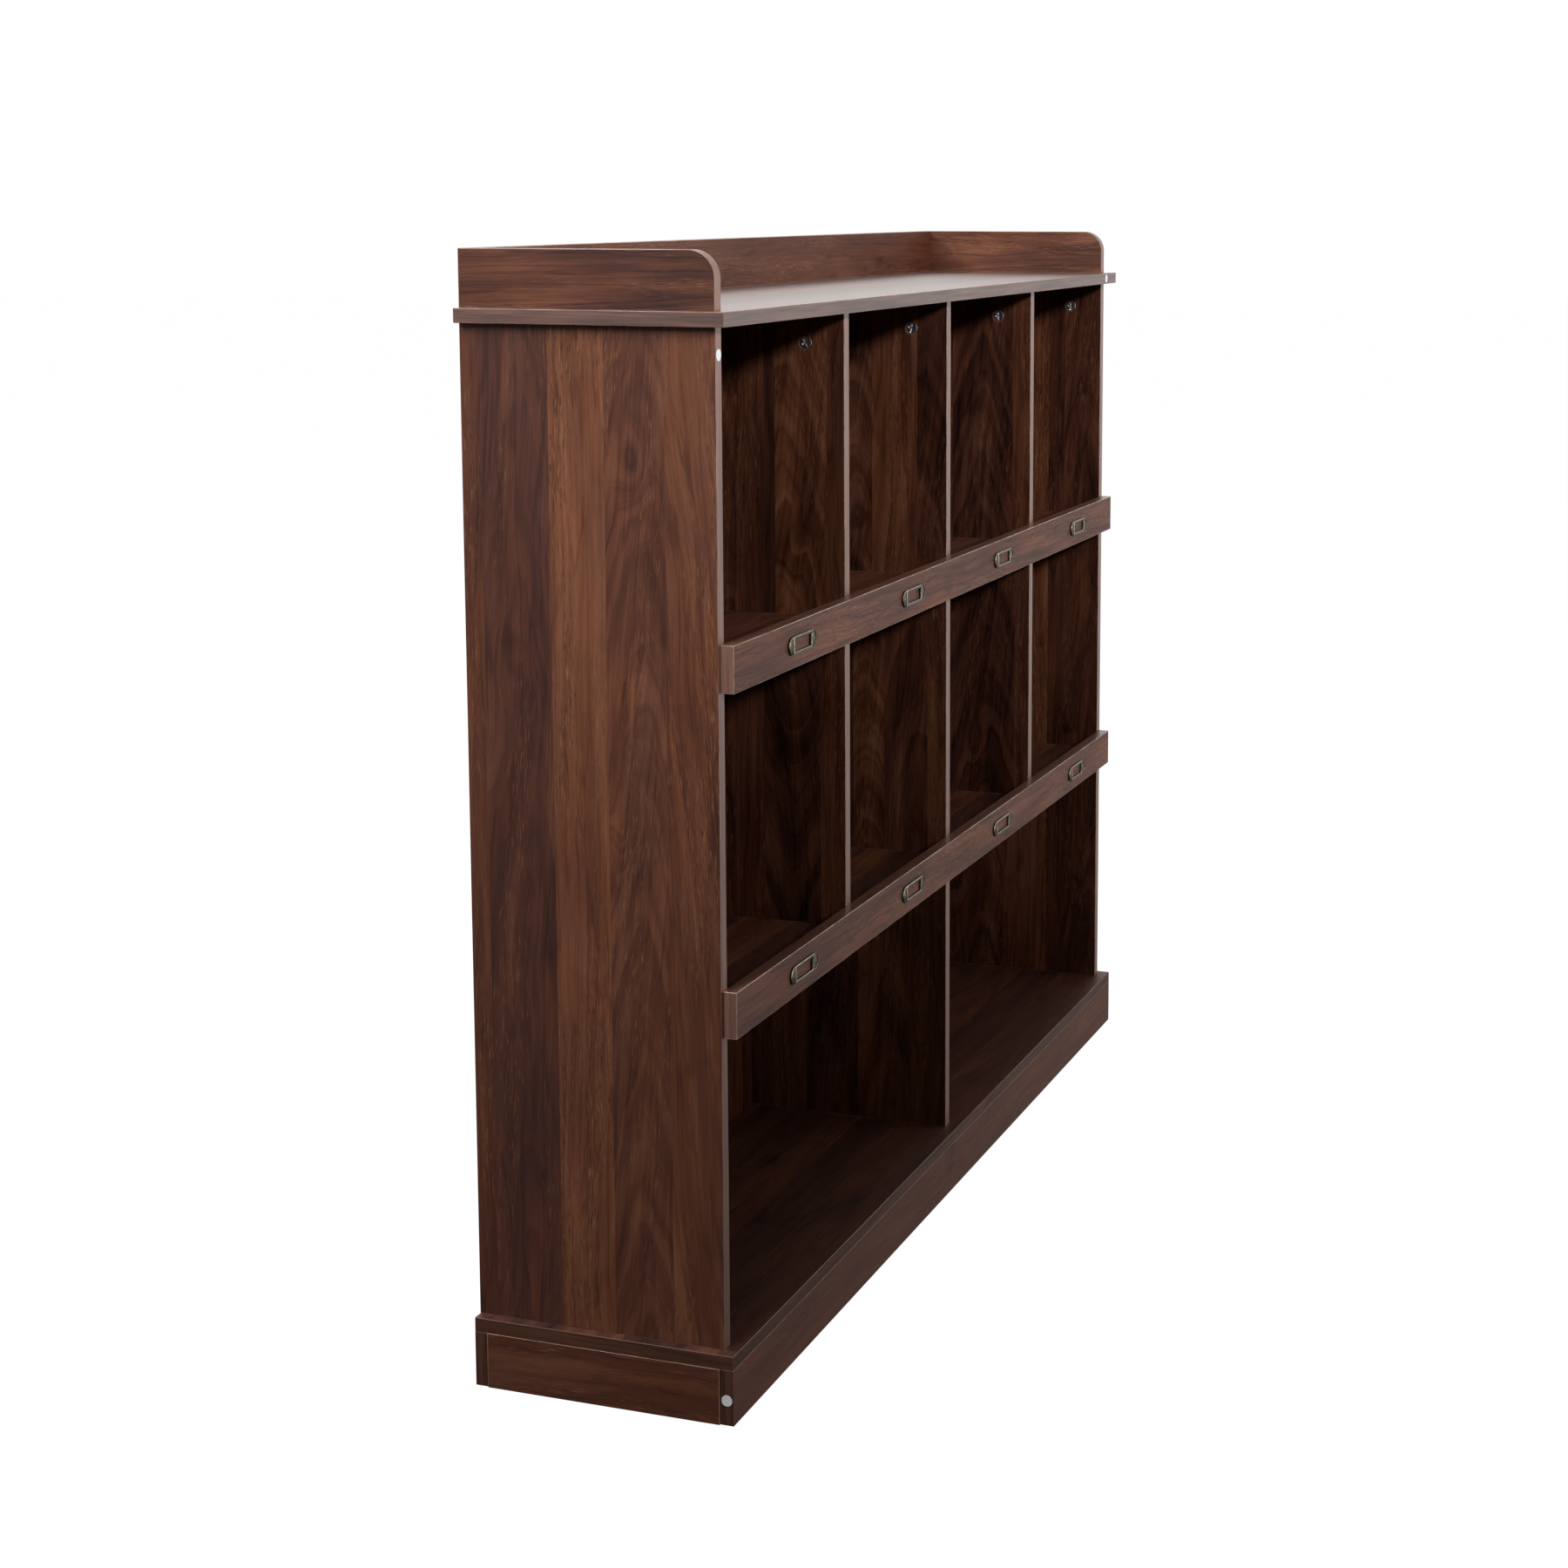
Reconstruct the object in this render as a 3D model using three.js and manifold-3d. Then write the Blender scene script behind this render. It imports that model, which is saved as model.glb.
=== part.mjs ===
// Floor-standing cubby bookcase: three rows of open compartments between board uprights, a plinth below,
// a low gallery round the top, and two front rails with brass label holders.
// Millimetres, +Z up. The origin is the centre of the bounding box, on the floor. The front faces -Y.
import * as THREE from 'three';
import { mergeVertices } from 'three/addons/utils/BufferGeometryUtils.js';
import Module from 'manifold-3d';

const wasm = await Module();
wasm.setup();

// ---------------------------------------------------------------- driving dimensions
const BOARD = 15; // thickness of every board
const CUBBY = 340; // clear width and clear height of a small compartment
const COLUMNS = 4; // small compartments across
const ROWS = 3; // rows of compartments; the bottom row is two wide bays
const CASE_DEPTH = 282; // side panel, front edge to back edge

const SIDE_OVERHANG = 12.5; // top and bottom boards beyond the side panels
const FRONT_OVERHANG = 15; // top and bottom boards beyond the side panels' front edges
const PLINTH_HEIGHT = 60;
const PLINTH_SIDE_PROUD = 1.5; // plinth side boards stand out past the bottom board
const GALLERY_HEIGHT = 60;
const GALLERY_RADIUS = 28; // rounded top front corner of a gallery side

const BACK_THICKNESS = 5;
const BACK_SETBACK = 10; // back panels in from the case's back edge
const GROOVE_DEPTH = 7; // groove that houses the back panels' edges
const FIT = 0.3; // assembly gap, each side

const RAIL_HEIGHT = 49;
const RAIL_DROP = 10; // rail's lower edge below the shelf's underside
const RAIL_END_INSET = 4; // rail ends in from the side panels' outer faces

const CAM = {
  radius: 7.2,
  length: 12,
  recess: 0.4, // cam face below the board's face
  cap: 4, // solid thickness under the cam's face
  hollowRadius: 4.3, // room for the bolt's head
  slotWidth: 4, // slot that the bolt's neck runs in
  slotSweep: 225, // degrees that the slot runs round the cam
  entryWidth: 7.4, // opening that the bolt's head passes
  belowTop: 34, // cam centre below the top board
  fromFront: 46, // front cam's centre from the uprights' front edges
  crossWidth: 1.8, // screwdriver cross in the face
  crossLength: 8.4,
  crossDepth: 2.6,
  pointerTip: 6.5, // engraved triangle that points to the entry
  pointerBase: 5,
  pointerWidth: 2.2,
  pointerDepth: 0.5,
};
// How far each cam has been turned from open to tight, in degrees, from the left upright to the right one
const CAM_TURNS = [165, 150, 190, 175, 185];

const BOLT = {
  headRadius: 3,
  neckRadius: 1.6,
  shankRadius: 3.5,
  shankStart: 9, // from the head's centre
  shankTaper: 1, // length of the cone between neck and shank
  threadRadius: 2.9,
  threadRoot: 2.5,
  threadPitch: 3.5,
  threadTurns: 3,
  ridgeFoot: 0.2, // from a ridge's lower end to the start of its cone
  ridgeCrest: 0.8, // the crest's place, as a share of the pitch
  tipRadius: 2,
};

const HOLDER = {
  frameLength: 54,
  height: 20,
  tabLength: 11, // half-round tab beyond each end of the frame
  plate: 0.8, // thickness of the tabs
  proud: 3, // frame's front face from the rail
  windowLength: 43,
  windowHeight: 12,
  cardLip: 1, // how far the frame covers the card's edge
  cardSlot: 1, // thickness of the card's slot
  pinRadius: 1,
  pinFromFrame: 6,
};

const MARKER = {
  radius: 6,
  thickness: 0.3,
  sideBelowTop: 28, // on the left panel's front edge, below the top board
  topFromEnd: 41, // on the top board's front edge, in from the right panel's outer face
  plinthZ: 27, // on the left end of the plinth's front board
};

// Sides of the faceted circles
const SIDES = { pocket: 24, cam: 24, hollow: 20, bore: 16, bolt: 12, marker: 24 };
// Steps in each curve of an extruded outline
const ARC_STEPS = { gallery: 12, tab: 6, slot: 12 };

// ---------------------------------------------------------------- places that follow from them
const caseWidth = COLUMNS * CUBBY + (COLUMNS + 1) * BOARD;
const caseHalf = caseWidth / 2;
const boardHalf = caseHalf + SIDE_OVERHANG;
const backY = (CASE_DEPTH + FRONT_OVERHANG + HOLDER.proud) / 2;
const frontY = backY - CASE_DEPTH; // front edges of the uprights and shelves
const lipY = frontY - FRONT_OVERHANG; // front edges of the top and bottom boards, and the rails' faces
const panelBackY = backY - BACK_SETBACK;
const innerBackY = panelBackY - BACK_THICKNESS; // back of every compartment

const floorZ = PLINTH_HEIGHT + BOARD; // upper face of the bottom board
const shelfZ = (row) => floorZ + row * CUBBY + (row - 1) * BOARD; // underside of the board above that row
const topZ = shelfZ(ROWS); // underside of the top board
const deckZ = topZ + BOARD; // upper face of the top board
const uprightX = (index) => -caseHalf + BOARD / 2 + index * (CUBBY + BOARD);
const cubbyX = (column) => uprightX(column) + (CUBBY + BOARD) / 2;
const camZ = topZ - CAM.belowTop;
const camY = [frontY + CAM.fromFront, innerBackY - CAM.fromFront];

// ---------------------------------------------------------------- materials
function material(color, roughness, metalness) {
  return () => new THREE.MeshStandardMaterial({ color, roughness, metalness });
}
const walnut = material(0x5f3c2d, 0.5, 0);
const backWalnut = material(0x4c2f22, 0.6, 0);
const brass = material(0x8a7a55, 0.4, 0.9);
const zinc = material(0x9a9a9c, 0.35, 0.95);
const steel = material(0xb4b2ab, 0.35, 0.95);
const paper = material(0xf0f0f0, 0.7, 0);

// ---------------------------------------------------------------- solids
// A closed geometry as a solid that can be cut
function toSolid(geometry) {
  const bare = geometry.clone();
  bare.deleteAttribute('normal');
  bare.deleteAttribute('uv');
  const merged = mergeVertices(bare, 1e-4);
  return new wasm.Manifold(
    new wasm.Mesh({
      numProp: 3,
      vertProperties: new Float32Array(merged.attributes.position.array),
      triVerts: new Uint32Array(merged.index.array),
    }),
  );
}

function toGeometry(solid) {
  const mesh = solid.getMesh();
  const geometry = new THREE.BufferGeometry();
  geometry.setAttribute('position', new THREE.BufferAttribute(mesh.vertProperties, 3));
  geometry.setIndex(new THREE.BufferAttribute(mesh.triVerts, 1));
  geometry.computeVertexNormals();
  return geometry;
}

// A geometry without the given ones
function cut(geometry, cutters) {
  let solid = toSolid(geometry);
  for (const cutter of cutters) {
    solid = solid.subtract(toSolid(cutter));
  }
  return toGeometry(solid);
}

// A box between two opposite corners
function block(low, high) {
  const size = high.map((value, axis) => value - low[axis]);
  const geometry = new THREE.BoxGeometry(...size);
  return geometry.translate(...low.map((value, axis) => value + size[axis] / 2));
}

// A cylinder along X or Z between two places on that axis
function rod(axis, radius, centre, from, to, sides) {
  const geometry = new THREE.CylinderGeometry(radius, radius, to - from, sides);
  if (axis === 'x') {
    geometry.rotateZ(Math.PI / 2);
    return geometry.translate((from + to) / 2, centre[0], centre[1]);
  }
  geometry.rotateX(Math.PI / 2);
  return geometry.translate(centre[0], centre[1], (from + to) / 2);
}

function extrude(shape, depth, curveSegments) {
  return new THREE.ExtrudeGeometry(shape, { depth, bevelEnabled: false, curveSegments });
}

const bookcase = new THREE.Group();

function add(name, geometry, makeMaterial) {
  const mesh = new THREE.Mesh(geometry, makeMaterial());
  mesh.name = name;
  bookcase.add(mesh);
  return mesh;
}

// ---------------------------------------------------------------- fastener bores
const pocketRadius = CAM.radius + 0.4;
const pocketDepth = CAM.recess + CAM.length + 0.5;
const shankBore = BOLT.shankRadius + 0.5;
const threadBore = BOLT.threadRadius + 0.4;
const threadLength = BOLT.threadPitch * BOLT.threadTurns;
const CLEAR = 1; // how far a cutter runs past the face it opens

// Which face of each upright the cams are in: +1 is the face towards +X
const uprightCount = COLUMNS + 1;
const camSide = (index) => (index === 0 ? 1 : -1);

// The cam pockets and bolt bores at the top of one upright
function uprightBores(index) {
  const x = uprightX(index);
  const side = camSide(index);
  const face = x + (side * BOARD) / 2;
  const mouth = face + side * CLEAR;
  const bottom = face - side * pocketDepth;
  return camY.flatMap((y) => [
    rod('x', pocketRadius, [y, camZ], Math.min(mouth, bottom), Math.max(mouth, bottom), SIDES.pocket),
    rod('z', shankBore, [x, y], camZ + pocketRadius / 2, topZ + CLEAR, SIDES.bore),
  ]);
}

// ---------------------------------------------------------------- carcass
// The groove round the inside that holds the back panels' edges
const grooveLow = innerBackY - FIT;
const grooveHigh = panelBackY + FIT;

function addSidePanel(name, index, side) {
  const x = uprightX(index);
  const inner = x - (side * BOARD) / 2;
  const mouth = inner - side * CLEAR;
  const bottom = inner + side * GROOVE_DEPTH;
  const groove = block(
    [Math.min(mouth, bottom), grooveLow, floorZ - CLEAR],
    [Math.max(mouth, bottom), grooveHigh, topZ + CLEAR],
  );
  const panel = block([x - BOARD / 2, frontY, floorZ], [x + BOARD / 2, backY, topZ]);
  add(name, cut(panel, [groove, ...uprightBores(index)]), walnut);
}
addSidePanel('side_panel_left', 0, -1);
addSidePanel('side_panel_right', COLUMNS, 1);

// Top and bottom boards share an outline and have the groove on their inner faces
const grooveHalf = caseHalf - BOARD + GROOVE_DEPTH;
const threadBores = [];
for (let index = 0; index < uprightCount; index += 1) {
  for (const y of camY) {
    const end = topZ + threadLength + FIT;
    const bore = rod('z', threadBore, [uprightX(index), y], topZ - CLEAR, end, SIDES.bore);
    threadBores.push(bore);
  }
}
add(
  'top_board',
  cut(block([-boardHalf, lipY, topZ], [boardHalf, backY, deckZ]), [
    block([-grooveHalf, grooveLow, topZ - CLEAR], [grooveHalf, grooveHigh, topZ + GROOVE_DEPTH]),
    ...threadBores,
  ]),
  walnut,
);
add(
  'bottom_board',
  cut(block([-boardHalf, lipY, PLINTH_HEIGHT], [boardHalf, backY, floorZ]), [
    block([-grooveHalf, grooveLow, floorZ - GROOVE_DEPTH], [grooveHalf, grooveHigh, floorZ + CLEAR]),
  ]),
  walnut,
);

for (const [name, row] of [['shelf_lower', 1], ['shelf_upper', 2]]) {
  const low = shelfZ(row);
  add(name, block([-caseHalf + BOARD, frontY, low], [caseHalf - BOARD, innerBackY, low + BOARD]), walnut);
}

// Dividers: three in each of the two upper rows, one in the middle of the bottom row
function dividerBlock(index, row) {
  const x = uprightX(index);
  const low = row === 1 ? floorZ : shelfZ(row - 1) + BOARD;
  return block([x - BOARD / 2, frontY, low], [x + BOARD / 2, innerBackY, shelfZ(row)]);
}
add('divider_bottom', dividerBlock(COLUMNS / 2, 1), walnut);
for (let index = 1; index < COLUMNS; index += 1) {
  add(`divider_middle_${index}`, dividerBlock(index, 2), walnut);
  add(`divider_top_${index}`, cut(dividerBlock(index, 3), uprightBores(index)), walnut);
}

// Two back panels that meet behind the middle dividers, their edges in the groove
const backEdge = GROOVE_DEPTH - 2 * FIT;
for (const [name, side] of [['back_panel_left', -1], ['back_panel_right', 1]]) {
  const outer = side * (caseHalf - BOARD + backEdge);
  const inner = side * FIT;
  add(
    name,
    block(
      [Math.min(outer, inner), innerBackY, floorZ - backEdge],
      [Math.max(outer, inner), panelBackY, topZ + backEdge],
    ),
    backWalnut,
  );
}

// ---------------------------------------------------------------- plinth
add('plinth_front', block([-boardHalf, lipY, 0], [boardHalf, lipY + BOARD, PLINTH_HEIGHT]), walnut);
add('plinth_back', block([-boardHalf, backY - BOARD, 0], [boardHalf, backY, PLINTH_HEIGHT]), walnut);
const plinthSideOuter = boardHalf + PLINTH_SIDE_PROUD;
for (const [name, side] of [['plinth_left', -1], ['plinth_right', 1]]) {
  const outer = side * plinthSideOuter;
  const inner = outer - side * BOARD;
  add(
    name,
    block(
      [Math.min(outer, inner), lipY + BOARD, 0],
      [Math.max(outer, inner), backY - BOARD, PLINTH_HEIGHT],
    ),
    walnut,
  );
}
add('plinth_brace', block([-BOARD / 2, lipY + BOARD, 0], [BOARD / 2, backY - BOARD, PLINTH_HEIGHT]), walnut);

// ---------------------------------------------------------------- gallery round the top
function gallerySideShape() {
  const shape = new THREE.Shape();
  const top = GALLERY_HEIGHT;
  shape.moveTo(frontY, 0);
  shape.lineTo(backY, 0);
  shape.lineTo(backY, top);
  shape.lineTo(frontY + GALLERY_RADIUS, top);
  shape.absarc(frontY + GALLERY_RADIUS, top - GALLERY_RADIUS, GALLERY_RADIUS, Math.PI / 2, Math.PI, false);
  shape.closePath();
  return shape;
}
for (const [name, index] of [['gallery_left', 0], ['gallery_right', COLUMNS]]) {
  const geometry = extrude(gallerySideShape(), BOARD, ARC_STEPS.gallery);
  // the outline's own X and Y become Y and Z
  geometry.rotateX(Math.PI / 2).rotateZ(Math.PI / 2);
  geometry.translate(uprightX(index) - BOARD / 2, 0, deckZ);
  add(name, geometry, walnut);
}
const galleryInner = caseHalf - BOARD;
add(
  'gallery_back',
  block([-galleryInner, backY - BOARD, deckZ], [galleryInner, backY, deckZ + GALLERY_HEIGHT]),
  walnut,
);

// ---------------------------------------------------------------- name rails and label holders
// A holder lies on the XY plane with its front towards +Z: tabs, a raised frame, and a slot for the card
function holderGeometry() {
  const frameHalf = HOLDER.frameLength / 2;
  const halfHeight = HOLDER.height / 2;
  const tabs = new THREE.Shape();
  tabs.moveTo(-frameHalf, -halfHeight);
  tabs.lineTo(frameHalf, -halfHeight);
  tabs.absellipse(frameHalf, 0, HOLDER.tabLength, halfHeight, -Math.PI / 2, Math.PI / 2, false, 0);
  tabs.lineTo(-frameHalf, halfHeight);
  tabs.absellipse(-frameHalf, 0, HOLDER.tabLength, halfHeight, Math.PI / 2, (3 * Math.PI) / 2, false, 0);
  const pinX = frameHalf + HOLDER.pinFromFrame;
  for (const x of [-pinX, pinX]) {
    const hole = new THREE.Path();
    hole.absarc(x, 0, HOLDER.pinRadius, 0, 2 * Math.PI, false);
    tabs.holes.push(hole);
  }
  const plate = extrude(tabs, HOLDER.plate, ARC_STEPS.tab);
  const frame = block([-frameHalf, -halfHeight, 0], [frameHalf, halfHeight, HOLDER.proud]);
  const windowX = HOLDER.windowLength / 2;
  const windowY = HOLDER.windowHeight / 2;
  const windowHole = block([-windowX, -windowY, -CLEAR], [windowX, windowY, HOLDER.proud + CLEAR]);
  const cardX = windowX + HOLDER.cardLip;
  const cardY = windowY + HOLDER.cardLip;
  const slotEnd = [frameHalf + CLEAR, cardY, HOLDER.plate + HOLDER.cardSlot];
  const slot = block([-cardX, -cardY, HOLDER.plate], slotEnd);
  const solid = toSolid(plate).add(toSolid(frame)).subtract(toSolid(windowHole)).subtract(toSolid(slot));
  return toGeometry(solid);
}

for (const [level, row] of [['lower', 1], ['upper', 2]]) {
  const low = shelfZ(row) - RAIL_DROP;
  const railHalf = caseHalf - RAIL_END_INSET;
  add(`rail_${level}`, block([-railHalf, lipY, low], [railHalf, frontY, low + RAIL_HEIGHT]), walnut);
  for (let column = 0; column < COLUMNS; column += 1) {
    const holder = add(`label_holder_${level}_${column + 1}`, holderGeometry(), brass);
    holder.rotation.x = Math.PI / 2;
    holder.position.set(cubbyX(column), lipY, low + RAIL_HEIGHT / 2);
  }
}

// ---------------------------------------------------------------- cam locks and their bolts
// A cam stands on its inner end with its face towards +Z, and its entry opening towards +Y
function camGeometry() {
  const face = CAM.length;
  let solid = toSolid(rod('z', CAM.radius, [0, 0], 0, face, SIDES.cam));
  // hollow for the bolt's head, open at the inner end
  const hollow = rod('z', CAM.hollowRadius, [0, 0], -CLEAR, face - CAM.cap, SIDES.hollow);
  solid = solid.subtract(toSolid(hollow));
  // slot round the skirt for the bolt's neck, level with the middle of the board
  const slotMiddle = CAM.recess + face - BOARD / 2;
  const outer = CAM.radius + CLEAR;
  const start = Math.PI / 2;
  const end = start + THREE.MathUtils.degToRad(CAM.slotSweep);
  const sector = new THREE.Shape();
  sector.moveTo(0, 0);
  sector.absarc(0, 0, outer, start, end, false);
  const slot = extrude(sector, CAM.slotWidth, ARC_STEPS.slot);
  slot.translate(0, 0, slotMiddle - CAM.slotWidth / 2);
  solid = solid.subtract(toSolid(slot));
  // entry for the bolt's head, through the skirt's end
  const entryHalf = CAM.entryWidth / 2;
  const entryTop = slotMiddle + entryHalf;
  solid = solid.subtract(toSolid(block([-entryHalf, 0, -CLEAR], [entryHalf, outer, entryTop])));
  // cross recess and a pointer towards the entry
  const arm = CAM.crossLength / 2;
  const halfArm = CAM.crossWidth / 2;
  for (const [halfX, halfY] of [[halfArm, arm], [arm, halfArm]]) {
    const bar = block([-halfX, -halfY, face - CAM.crossDepth], [halfX, halfY, face + CLEAR]);
    solid = solid.subtract(toSolid(bar));
  }
  const pointerHalf = CAM.pointerWidth / 2;
  const pointer = new THREE.Shape();
  pointer.moveTo(0, CAM.pointerTip);
  pointer.lineTo(-pointerHalf, CAM.pointerBase);
  pointer.lineTo(pointerHalf, CAM.pointerBase);
  pointer.closePath();
  const pointerCut = extrude(pointer, CAM.pointerDepth + CLEAR, 1);
  pointerCut.translate(0, 0, face - CAM.pointerDepth);
  return toGeometry(solid.subtract(toSolid(pointerCut)));
}

// A bolt's profile from the middle of its head upwards, turned about Z
function boltGeometry() {
  const points = [];
  const headSteps = 5;
  const neckAngle = Math.asin(BOLT.neckRadius / BOLT.headRadius);
  for (let step = 0; step <= headSteps; step += 1) {
    const angle = Math.PI - (step / headSteps) * (Math.PI - neckAngle);
    const radius = step === 0 ? 0 : BOLT.headRadius * Math.sin(angle);
    points.push(new THREE.Vector2(radius, BOLT.headRadius * Math.cos(angle)));
  }
  points.push(new THREE.Vector2(BOLT.neckRadius, BOLT.shankStart));
  points.push(new THREE.Vector2(BOLT.shankRadius, BOLT.shankStart + BOLT.shankTaper));
  points.push(new THREE.Vector2(BOLT.shankRadius, CAM.belowTop - FIT));
  // each thread ridge is a cone that widens to its crest and narrows again to the root
  for (let ridge = 0; ridge < BOLT.threadTurns; ridge += 1) {
    const low = CAM.belowTop - FIT + ridge * BOLT.threadPitch;
    points.push(new THREE.Vector2(BOLT.threadRoot, low + BOLT.ridgeFoot));
    points.push(new THREE.Vector2(BOLT.threadRadius, low + BOLT.ridgeCrest * BOLT.threadPitch));
  }
  const tip = CAM.belowTop - FIT + threadLength;
  points.push(new THREE.Vector2(BOLT.tipRadius, tip));
  points.push(new THREE.Vector2(0, tip));
  const turned = new THREE.LatheGeometry(points, SIDES.bolt);
  // the turned profile's +Y becomes +Z
  return turned.rotateX(Math.PI / 2);
}

const places = ['front', 'back'];
for (let index = 0; index < uprightCount; index += 1) {
  const side = camSide(index);
  for (let place = 0; place < places.length; place += 1) {
    const label = `${index + 1}_${places[place]}`;
    const cam = add(`cam_lock_${label}`, camGeometry(), zinc);
    // face outwards along X, entry upwards, then turned clockwise to where it is tight
    const turn = THREE.MathUtils.degToRad(CAM_TURNS[index]);
    const facing = new THREE.Matrix4().makeBasis(
      new THREE.Vector3(0, side, 0),
      new THREE.Vector3(0, 0, 1),
      new THREE.Vector3(side, 0, 0),
    );
    cam.quaternion.setFromRotationMatrix(facing);
    cam.rotateZ(-turn);
    const innerEnd = uprightX(index) + side * (BOARD / 2 - CAM.recess - CAM.length);
    cam.position.set(innerEnd, camY[place], camZ);
    const bolt = add(`cam_bolt_${label}`, boltGeometry(), steel);
    bolt.position.set(uprightX(index), camY[place], camZ);
  }
}

// ---------------------------------------------------------------- round paper markers
function markerGeometry() {
  return rod('z', MARKER.radius, [0, 0], 0, MARKER.thickness, SIDES.marker);
}
const markerSide = add('marker_dot_side', markerGeometry(), paper);
markerSide.rotation.x = Math.PI / 2;
markerSide.position.set(uprightX(0), frontY, topZ - MARKER.sideBelowTop);
const markerTop = add('marker_dot_top', markerGeometry(), paper);
markerTop.rotation.x = Math.PI / 2;
markerTop.position.set(caseHalf - MARKER.topFromEnd, lipY, topZ + BOARD / 2);
const markerPlinth = add('marker_dot_plinth', markerGeometry(), paper);
markerPlinth.rotation.y = -Math.PI / 2;
markerPlinth.position.set(-boardHalf, lipY + BOARD / 2, MARKER.plinthZ);

export default bookcase;
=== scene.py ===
"""Looks of the walnut cubby bookcase.

Printed walnut boards with edge bands, worn arrises and a painted highlight along the rails' arrises,
stamped brass label holders, zinc cam locks, paper markers, and the studio they stand in.
"""

import math
import random

import bpy
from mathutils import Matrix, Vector


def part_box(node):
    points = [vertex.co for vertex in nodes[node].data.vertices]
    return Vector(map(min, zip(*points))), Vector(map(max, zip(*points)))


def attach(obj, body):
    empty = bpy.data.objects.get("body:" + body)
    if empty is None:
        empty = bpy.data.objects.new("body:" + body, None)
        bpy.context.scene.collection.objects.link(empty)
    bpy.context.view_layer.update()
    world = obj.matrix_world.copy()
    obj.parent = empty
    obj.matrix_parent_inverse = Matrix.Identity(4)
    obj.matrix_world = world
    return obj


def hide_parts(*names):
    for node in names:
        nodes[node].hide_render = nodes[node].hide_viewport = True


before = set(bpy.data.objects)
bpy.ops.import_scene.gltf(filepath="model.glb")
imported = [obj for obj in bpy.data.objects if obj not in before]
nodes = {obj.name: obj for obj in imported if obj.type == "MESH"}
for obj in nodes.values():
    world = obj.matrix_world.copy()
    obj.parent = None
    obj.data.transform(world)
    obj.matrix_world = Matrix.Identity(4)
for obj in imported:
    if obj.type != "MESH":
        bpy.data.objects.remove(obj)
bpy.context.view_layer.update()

MM = 0.001
AXES = {"X": 0, "Y": 1, "Z": 2}
scene = bpy.context.scene


# ---------------------------------------------------------------- camera
CAMERA_PLACE = Vector((-3.1357, -1.1857, 1.2512))
CAMERA_HEADING = math.radians(70.586)  # from +Y towards +X
CAMERA_TILT = math.radians(-7.469)
SENSOR_WIDTH = 36.0
LENS = 61.66
SHIFT = (-0.08, -0.15)


def make_camera():
    data = bpy.data.cameras.new("camera")
    data.sensor_width = SENSOR_WIDTH
    data.lens = LENS
    data.shift_x, data.shift_y = SHIFT
    data.clip_start = 0.05
    data.clip_end = 60.0
    camera = bpy.data.objects.new("camera", data)
    level = math.cos(CAMERA_TILT)
    forward = Vector((
        math.sin(CAMERA_HEADING) * level,
        math.cos(CAMERA_HEADING) * level,
        math.sin(CAMERA_TILT),
    ))
    camera.location = CAMERA_PLACE
    camera.rotation_euler = forward.to_track_quat("-Z", "Y").to_euler()
    scene.collection.objects.link(camera)
    scene.camera = camera


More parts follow.
